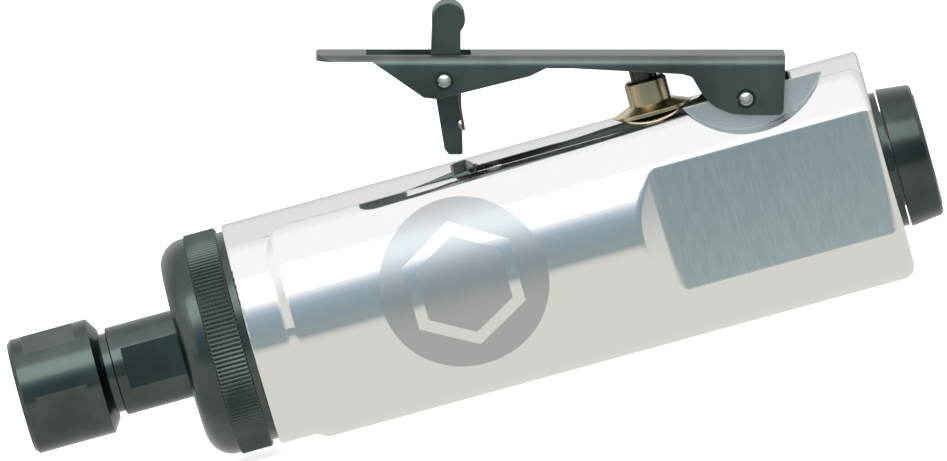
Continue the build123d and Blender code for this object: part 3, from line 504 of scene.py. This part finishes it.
class GrinderStage(bpy.types.PropertyGroup):
    """Camera and studio."""
    lens: bpy.props.FloatProperty(
        name="Lens", description="Focal length", default=702.0, min=1.0, subtype="DISTANCE_CAMERA")
    distance: bpy.props.FloatProperty(
        name="Distance", description="From the camera to the tool", default=3.2, min=0.01, unit="LENGTH")
    elevation: bpy.props.FloatProperty(
        name="Elevation", description="Height angle of the camera", default=math.radians(5.5), unit="ROTATION")
    azimuth: bpy.props.FloatProperty(
        name="Azimuth", description="Side angle of the camera", default=math.radians(0.95), unit="ROTATION")
    roll: bpy.props.FloatProperty(
        name="Roll", description="Tilt of the camera about its line of sight", default=math.radians(-15.45),
        unit="ROTATION")
    aim: bpy.props.FloatVectorProperty(
        name="Aim", description="Point in the middle of the picture", subtype="XYZ", size=3, unit="LENGTH",
        default=(83.3 * MM, 0.0, 7.2 * MM))
    floor_colour: bpy.props.FloatVectorProperty(
        name="Floor", description="Plain pale floor", subtype="COLOR", size=3, min=0.0, max=1.0,
        default=(0.86, 0.86, 0.85))
    floor_glow: bpy.props.FloatVectorProperty(
        name="Floor glow", description="How the floor looks in the polished body", subtype="COLOR", size=3,
        min=0.0, max=1.0, default=(0.755, 0.735, 0.705))
    floor_far: bpy.props.FloatVectorProperty(
        name="Far floor", description="How the floor further away looks in the polished body", subtype="COLOR",
        size=3, min=0.0, max=1.0, default=(0.314, 0.372, 0.384))
    glow_start: bpy.props.FloatProperty(
        name="Glow start", description="Distance from the tool's axis where the floor begins to darken",
        default=70 * MM, min=0.0, unit="LENGTH")
    glow_end: bpy.props.FloatProperty(
        name="Glow end", description="Distance from the tool's axis where the floor is at its darkest",
        default=155 * MM, min=0.0, unit="LENGTH")
    end_colour: bpy.props.FloatVectorProperty(
        name="End colour", description="Warm end of the studio in front of the collet", subtype="COLOR", size=3,
        min=0.0, max=1.0, default=(0.80, 0.78, 0.74))
    metal_return: bpy.props.FloatProperty(
        name="Metal return", description="Share of light that the polished body gives back", default=0.86,
        min=0.1, max=1.0)
    strip_power: bpy.props.FloatProperty(
        name="Strip power", description="Power of the soft strip, in watts", default=1.0, min=0.0)
    strip_length: bpy.props.FloatProperty(
        name="Strip length", description="Length of the soft strip, along the tool", default=0.9, min=0.01,
        unit="LENGTH")
    strip_depth: bpy.props.FloatProperty(
        name="Strip depth", description="Width of the soft strip", default=0.3, min=0.01, unit="LENGTH")
    strip_colour: bpy.props.FloatVectorProperty(
        name="Strip colour", description="Colour of the soft strip's light", subtype="COLOR", size=3, min=0.0,
        max=1.0, default=(0.90, 0.97, 1.0))
    strip_middle: bpy.props.FloatProperty(
        name="Strip middle", description="Place along the tool that the soft strip faces", default=80 * MM,
        unit="LENGTH")
    strip_height: bpy.props.FloatProperty(
        name="Strip height", description="Angle of the soft strip above the front", default=math.radians(48.0),
        unit="ROTATION")
    strip_distance: bpy.props.FloatProperty(
        name="Strip distance", description="From the tool to the soft strip", default=0.55, min=0.01,
        unit="LENGTH")


# The light seen at each angle around the tool, as the polished body should give it back.
# Degrees from the horizon in front, over the top: 90 is overhead, -90 is the floor.
STUDIO_RING = (
    (-180.0, (0.42, 0.44, 0.45)),
    (-171.0, (0.55, 0.56, 0.55)),
    (-160.0, (0.60, 0.60, 0.58)),
    (-28.0, (0.66, 0.65, 0.64)),
    (-20.0, (0.58, 0.57, 0.57)),
    (-14.5, (0.38, 0.40, 0.41)),
    (-9.0, (0.27, 0.32, 0.33)),
    (0.0, (0.25, 0.31, 0.335)),
    (12.0, (0.255, 0.33, 0.375)),
    (20.0, (0.31, 0.39, 0.46)),
    (26.0, (0.45, 0.53, 0.61)),
    (31.0, (0.80, 0.82, 0.86)),
    (36.0, (0.93, 0.92, 0.93)),
    (98.0, (0.93, 0.92, 0.93)),
    (112.0, (0.74, 0.74, 0.74)),
    (150.0, (0.72, 0.72, 0.72)),
    (166.0, (0.60, 0.61, 0.62)),
    (180.0, (0.42, 0.44, 0.45)),
)


# ---------------------------------------------------------------- operators

class GRINDER_OT_housing(bpy.types.Operator):
    """Polish the housing, brush its flats and etch its disc"""
    bl_idname = "grinder.housing"
    bl_label = "Housing"

    def execute(self, context):
        dress(polished_aluminium(context.scene.grinder_look), "housing")
        return {"FINISHED"}


# The clamp ring's hidden and stepped parts.
RING_BORE_PLAY = 0.3 * MM
RING_LAND_DROP = 0.35 * MM
RING_NECK_DROP = 1.0 * MM
RING_SPIGOT_DROP = 2.03 * MM
RING_SPIGOT_WALL = 1.9 * MM
RING_HOLLOW_START = 6.2 * MM
RIDGE_PROFILE = (0.0, 0.75, 1.0, 0.75)  # heights across one ridge, as shares of its depth


class GRINDER_OT_clamp_ring(bpy.types.Operator):
    """Make the knurled clamp ring in place of its plain solid"""
    bl_idname = "grinder.clamp_ring"
    bl_label = "Clamp ring"

    def execute(self, context):
        look = context.scene.grinder_look
        oxide = plated_metal(
            "Black oxide ring", look.oxide_colour, (0.26, 0.28, 0.27),
            roughness=0.20, wear=0.4, grain=0.15)
        mesh = self.ring_mesh(context.scene.grinder_knurl)
        ring = mesh_object("clamp_ring_knurled", mesh, oxide, "body")
        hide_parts("clamp_ring")
        return {"FINISHED"}

    def ring_mesh(self, knurl):
        """The ring's closed outline, turned, with ridges between the band's ends."""
        low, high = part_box("clamp_ring")
        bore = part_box("spindle")[1][1] + RING_BORE_PLAY
        outer = high[1]
        front = low[0]
        band = front + knurl.band_start
        band_end = band + knurl.band_length
        neck_end = band_end + knurl.neck_length
        land = outer - RING_LAND_DROP
        nose = land - knurl.nose_round
        spigot = outer - RING_SPIGOT_DROP
        hollow = spigot - RING_SPIGOT_WALL
        outline = [(front, bore, 0), (front, nose, 0)]
        for step in range(1, 13):
            angle = math.pi / 2 * step / 12
            back = knurl.nose_round * (1 - math.cos(angle))
            outline.append((front + back, nose + knurl.nose_round * math.sin(angle), 0))
        outline += [
            (band - 0.25 * MM, land, 0),
            (band - 0.02 * MM, land - 0.1 * MM, 0),
            (band, land - 0.05 * MM, 0),
            (band + 0.25 * MM, outer, 1),
            (band_end - 0.35 * MM, outer, 1),
            (band_end - 0.02 * MM, outer - 0.35 * MM, 0),
            (band_end, outer - 0.45 * MM, 0),
            (band_end, outer - RING_NECK_DROP, 0),
            (neck_end, outer - RING_NECK_DROP, 0),
            (neck_end, spigot, 0),
            (high[0], spigot, 0),
            (high[0], hollow, 0),
            (front + RING_HOLLOW_START, hollow, 0),
            (front + RING_HOLLOW_START, bore, 0),
        ]
        per_ridge = len(RIDGE_PROFILE)

        def ridged(radius, flag, step):
            if not flag:
                return radius
            return radius - knurl.depth * (1 - RIDGE_PROFILE[step % per_ridge])

        return turned_mesh("clamp_ring_knurled", outline, knurl.ridges * per_ridge, ridged)


class GRINDER_OT_nose(bpy.types.Operator):
    """Finish the spindle, the collet nut and the collet"""
    bl_idname = "grinder.nose"
    bl_label = "Spindle, nut and collet"

    def execute(self, context):
        look = context.scene.grinder_look
        nut = plated_metal(
            "Black oxide nut", look.oxide_colour, (0.28, 0.30, 0.29),
            roughness=0.18, wear=0.5, grain=0.3)
        spindle = plated_metal(
            "Black oxide spindle", look.oxide_colour, (0.26, 0.28, 0.27),
            roughness=0.18, wear=0.4, grain=0.3)
        steel = plated_metal(
            "Collet steel", (0.30, 0.30, 0.31), (0.55, 0.55, 0.56),
            roughness=0.32, wear=0.5, grain=0.5)
        dress(nut, "collet_nut")
        dress(spindle, "spindle")
        dress(steel, "collet")
        return {"FINISHED"}


class GRINDER_OT_levers(bpy.types.Operator):
    """Finish the throttle lever, the lock-off lever and their pins"""
    bl_idname = "grinder.levers"
    bl_label = "Levers and pins"

    def execute(self, context):
        look = context.scene.grinder_look
        # the levers' brighter edges are partly wear and partly a painted highlight along their cut edges
        oxide = plated_metal(
            "Lever oxide", look.lever_colour, (0.36, 0.37, 0.34),
            roughness=0.34, wear=0.6, grain=0.2, edge=0.2 * MM)
        lock = plated_metal(
            "Lock lever oxide", [channel * 0.88 for channel in look.lever_colour], (0.36, 0.37, 0.35),
            roughness=0.36, wear=0.4, grain=0.2, edge=0.25 * MM)
        dress(oxide, "throttle_lever")
        dress(lock, "lock_lever")
        for name in ("pivot_pin", "lock_pin"):
            # a dark ring painted on each pin outside the pin ring radius: painted shade of the gap between pin and
            # hole
            steel = plated_metal(
                name + " steel", (0.55, 0.57, 0.58), (0.7, 0.7, 0.7),
                roughness=0.28, wear=0.2, grain=0.3, edge=0.12 * MM,
                second=((0.06, 0.07, 0.07), beyond_radius(name, look.pin_gap_shade_radius)))
            dress(steel, name)
        return {"FINISHED"}


class GRINDER_OT_valve(bpy.types.Operator):
    """Finish the throttle valve and its inner parts"""
    bl_idname = "grinder.valve"
    bl_label = "Throttle valve"

    def execute(self, context):
        look = context.scene.grinder_look
        gold = plated_metal(
            "Yellow plating", look.gold_colour, (0.85, 0.78, 0.62),
            roughness=0.24, wear=0.3, grain=0.4, stretch=(1.0, 1.0, 0.05))
        plunger = plated_metal(
            "Plunger plating", look.gold_colour, (0.85, 0.78, 0.62),
            roughness=0.26, wear=0.2, grain=0.4, stretch=(1.0, 1.0, 0.05),
            second=((0.10, 0.09, 0.07), above_height(look.tip_height)))
        rubber = soft_solid("Nitrile rubber", (0.02, 0.02, 0.02), 0.6)
        spring = plated_metal(
            "Valve spring steel", (0.35, 0.35, 0.36), (0.6, 0.6, 0.6),
            roughness=0.3)
        dress(plunger, "valve_stem")
        dress(gold, "valve_cap", "valve_seat", "air_feed_tube", "inlet_screen")
        dress(rubber, "valve_poppet", "stem_o_ring", "seat_o_ring", "dust_seal")
        dress(spring, "valve_spring", "front_preload_washer", "rear_washer")
        return {"FINISHED"}


class GRINDER_OT_lock_spring(bpy.types.Operator):
    """Finish the lock-off lever's torsion spring"""
    bl_idname = "grinder.lock_spring"
    bl_label = "Lock-off spring"

    def execute(self, context):
        steel = plated_metal(
            "Spring wire", (0.24, 0.16, 0.13), (0.4, 0.35, 0.3),
            roughness=0.35, wear=0.3)
        dress(steel, "lock_spring")
        return {"FINISHED"}


class GRINDER_OT_rear(bpy.types.Operator):
    """Finish the exhaust rings, the muffler and the air inlet"""
    bl_idname = "grinder.rear"
    bl_label = "Exhaust and air inlet"

    def execute(self, context):
        look = context.scene.grinder_look
        satin = plated_metal(
            "Satin black", look.exhaust_colour, (0.22, 0.24, 0.23),
            roughness=0.20, wear=0.3, grain=0.2)
        steel = plated_metal(
            "Inlet steel", (0.28, 0.28, 0.29), (0.5, 0.5, 0.5),
            roughness=0.3, wear=0.5, grain=0.5)
        felt = soft_solid("Muffler felt", (0.30, 0.28, 0.25), 0.95, 0.9, 2600.0)
        dress(satin, "exhaust_collar", "exhaust_deflector")
        dress(steel, "inlet_bushing")
        dress(felt, "exhaust_muffler")
        return {"FINISHED"}


class GRINDER_OT_motor(bpy.types.Operator):
    """Finish the parts inside the motor"""
    bl_idname = "grinder.motor"
    bl_label = "Air motor"

    def execute(self, context):
        steel = plated_metal(
            "Ground steel", (0.50, 0.51, 0.52), (0.7, 0.7, 0.7),
            roughness=0.22, wear=0.4, grain=0.5)
        iron = plated_metal(
            "Ground iron", (0.20, 0.20, 0.21), (0.4, 0.4, 0.4),
            roughness=0.4, wear=0.5, grain=0.5)
        brass = plated_metal(
            "Cage brass", (0.66, 0.50, 0.22), (0.8, 0.7, 0.5),
            roughness=0.3)
        fibre = soft_solid("Vane sheet", (0.24, 0.13, 0.06), 0.5)
        dress(steel, "front_bearing_outer", "front_bearing_inner", "front_bearing_balls", "rear_bearing_outer",
              "rear_bearing_inner", "rear_bearing_balls", "rotor", "rotor_key", "cylinder_dowels")
        dress(iron, "front_end_plate", "rear_end_plate", "motor_cylinder")
        dress(brass, "front_bearing_cage", "rear_bearing_cage")
        dress(fibre, *[name for name in NODES if name.startswith("vane_")])
        return {"FINISHED"}


class GRINDER_OT_stage(bpy.types.Operator):
    """Make the floor, the soft studio light and the camera"""
    bl_idname = "grinder.stage"
    bl_label = "Stage"

    def execute(self, context):
        stage = context.scene.grinder_stage
        self.make_floor(stage)
        self.make_world(context.scene, stage)
        self.make_light(context.scene, stage)
        self.make_camera(context.scene, stage)
        context.scene.view_settings.view_transform = "Standard"
        return {"FINISHED"}

    def make_floor(self, stage):
        """A large round floor under the tool."""
        build = bmesh.new()
        bmesh.ops.create_circle(build, cap_ends=True, segments=96, radius=6.0)
        mesh = bpy.data.meshes.new("floor")
        build.to_mesh(mesh)
        build.free()
        floor = bpy.data.objects.new("floor", mesh)
        floor.location.z = CAD_BOUNDS[0][2] - 0.0002
        bpy.context.scene.collection.objects.link(floor)
        material, tree = new_material("Pale floor", stage.floor_colour)
        path = add_node(tree, "ShaderNodeLightPath")
        lit = add_node(tree, "ShaderNodeBsdfDiffuse", None, {"Color": opaque(stage.floor_colour)})
        # camera rays see the lit floor with a white glow added, which keeps it near white and its contact shadow
        # faint
        white = add_node(tree, "ShaderNodeEmission", None, {"Color": (1.0, 1.0, 1.0, 1.0), "Strength": 0.75})
        seen = add_node(tree, "ShaderNodeAddShader", None, {0: white.outputs[0], 1: lit.outputs[0]})
        place = add_node(tree, "ShaderNodeTexCoord")
        axes = add_node(tree, "ShaderNodeSeparateXYZ", None, {0: place.outputs["Object"]})
        aside = calc(tree, "ABSOLUTE", axes.outputs[1])
        further = ramp_between(tree, aside, stage.glow_start, stage.glow_end)
        glow = mix_colours(tree, further, opaque(stage.floor_glow), opaque(stage.floor_far))
        # all other rays see only a glow, bright near the tool and darker further out: painted light for the polished
        # body to reflect
        plain = add_node(tree, "ShaderNodeEmission", None, {"Color": glow, "Strength": 1.0})
        floor_shader = add_node(tree, "ShaderNodeMixShader", None, {
            "Fac": path.outputs["Is Camera Ray"], 1: plain.outputs[0], 2: seen.outputs[0]})
        output = tree.nodes.new("ShaderNodeOutputMaterial")
        tree.links.new(floor_shader.outputs[0], output.inputs["Surface"])
        mesh.materials.append(material)

    def make_world(self, scene, stage):
        """Light that changes with the angle around the tool: white overhead, a blue-grey band low in front."""
        world = bpy.data.worlds.new("Studio")
        world.use_nodes = True
        tree = world.node_tree
        tree.nodes.clear()
        place = add_node(tree, "ShaderNodeTexCoord")
        axes = add_node(tree, "ShaderNodeSeparateXYZ", None, {0: place.outputs["Generated"]})
        x, y, z = axes.outputs
        angle = calc(tree, "ARCTAN2", z, calc(tree, "MULTIPLY", y, -1.0))
        turn = calc(tree, "MULTIPLY_ADD", angle, 0.5 / math.pi, 0.5)
        ramp = add_node(tree, "ShaderNodeValToRGB", None, {0: turn})
        stops = ramp.color_ramp.elements
        while len(stops) > 1:
            stops.remove(stops[-1])
        for number, (degrees, colour) in enumerate(STUDIO_RING):
            stop = stops[0] if number == 0 else stops.new((degrees + 180.0) / 360.0)
            stop.position = (degrees + 180.0) / 360.0
            stop.color = opaque([channel / stage.metal_return for channel in colour])
        ends = ramp_between(tree, calc(tree, "MULTIPLY", x, -1.0), 0.55, 0.85)
        level = mask_of_range(tree, z, -0.5, 0.5, 0.15)
        colour = mix_colours(tree, calc(tree, "MULTIPLY", ends, level), ramp.outputs["Color"],
                             opaque(stage.end_colour))
        path = add_node(tree, "ShaderNodeLightPath")
        colour = mix_colours(tree, path.outputs["Is Camera Ray"], colour, (1.0, 1.0, 1.0, 1.0))
        background = add_node(tree, "ShaderNodeBackground", None, {"Color": colour, "Strength": 1.0})
        output = tree.nodes.new("ShaderNodeOutputWorld")
        tree.links.new(background.outputs[0], output.inputs["Surface"])
        scene.world = world

    def make_light(self, scene, stage):
        """A long soft strip above and in front of the tool, which draws the highlight on the black parts."""
        data = bpy.data.lights.new("front strip", "AREA")
        data.shape = "RECTANGLE"
        data.size = stage.strip_length
        data.size_y = stage.strip_depth
        data.energy = stage.strip_power
        data.color = stage.strip_colour
        light = bpy.data.objects.new("front strip", data)
        middle = Vector((stage.strip_middle, 0.0, 0.0))
        light.location = middle + stage.strip_distance * Vector(
            (0.0, -math.cos(stage.strip_height), math.sin(stage.strip_height)))
        light.rotation_mode = "QUATERNION"
        light.rotation_quaternion = (middle - light.location).to_track_quat("-Z", "Y")
        scene.collection.objects.link(light)

    def make_camera(self, scene, stage):
        """The camera, level with the tool and rolled about its line of sight."""
        data = bpy.data.cameras.new("camera")
        data.lens = stage.lens
        data.clip_start = 0.01
        camera = bpy.data.objects.new("camera", data)
        flat = math.cos(stage.elevation)
        away = Vector((flat * math.sin(stage.azimuth), -flat * math.cos(stage.azimuth), math.sin(stage.elevation)))
        camera.location = Vector(stage.aim) + away * stage.distance
        turn = (-away).to_track_quat("-Z", "Y")
        roll = Quaternion((0.0, 0.0, 1.0), stage.roll)
        camera.rotation_mode = "QUATERNION"
        camera.rotation_quaternion = turn @ roll
        scene.collection.objects.link(camera)
        scene.camera = camera


class GRINDER_PT_panel(bpy.types.Panel):
    """The die grinder's sizes, colours and pieces"""
    bl_label = "Die Grinder"
    bl_idname = "GRINDER_PT_panel"
    bl_space_type = "VIEW_3D"
    bl_region_type = "UI"
    bl_category = "Die Grinder"

    def draw(self, context):
        layout = self.layout
        for group in GROUPS:
            settings = getattr(context.scene, group)
            column = layout.column(align=True)
            for name in settings.bl_rna.properties.keys():
                if name not in ("rna_type", "name"):
                    column.prop(settings, name)
        for operator in OPERATORS:
            layout.operator(operator.bl_idname)


GROUPS = {"grinder_look": GrinderLook, "grinder_knurl": GrinderKnurl, "grinder_stage": GrinderStage}
OPERATORS = (
    GRINDER_OT_stage, GRINDER_OT_housing, GRINDER_OT_clamp_ring, GRINDER_OT_nose, GRINDER_OT_levers,
    GRINDER_OT_lock_spring, GRINDER_OT_valve, GRINDER_OT_rear, GRINDER_OT_motor,
)
CLASSES = (*GROUPS.values(), *OPERATORS, GRINDER_PT_panel)


def register():
    for item in CLASSES:
        bpy.utils.register_class(item)
    for name, group in GROUPS.items():
        setattr(bpy.types.Scene, name, bpy.props.PointerProperty(type=group))


def unregister():
    for name in GROUPS:
        delattr(bpy.types.Scene, name)
    for item in reversed(CLASSES):
        bpy.utils.unregister_class(item)


def main():
    register()
    bpy.ops.grinder.stage()
    bpy.ops.grinder.housing()
    bpy.ops.grinder.clamp_ring()
    bpy.ops.grinder.nose()
    bpy.ops.grinder.levers()
    bpy.ops.grinder.lock_spring()
    bpy.ops.grinder.valve()
    bpy.ops.grinder.rear()
    bpy.ops.grinder.motor()


if __name__ == "__main__":
    main()
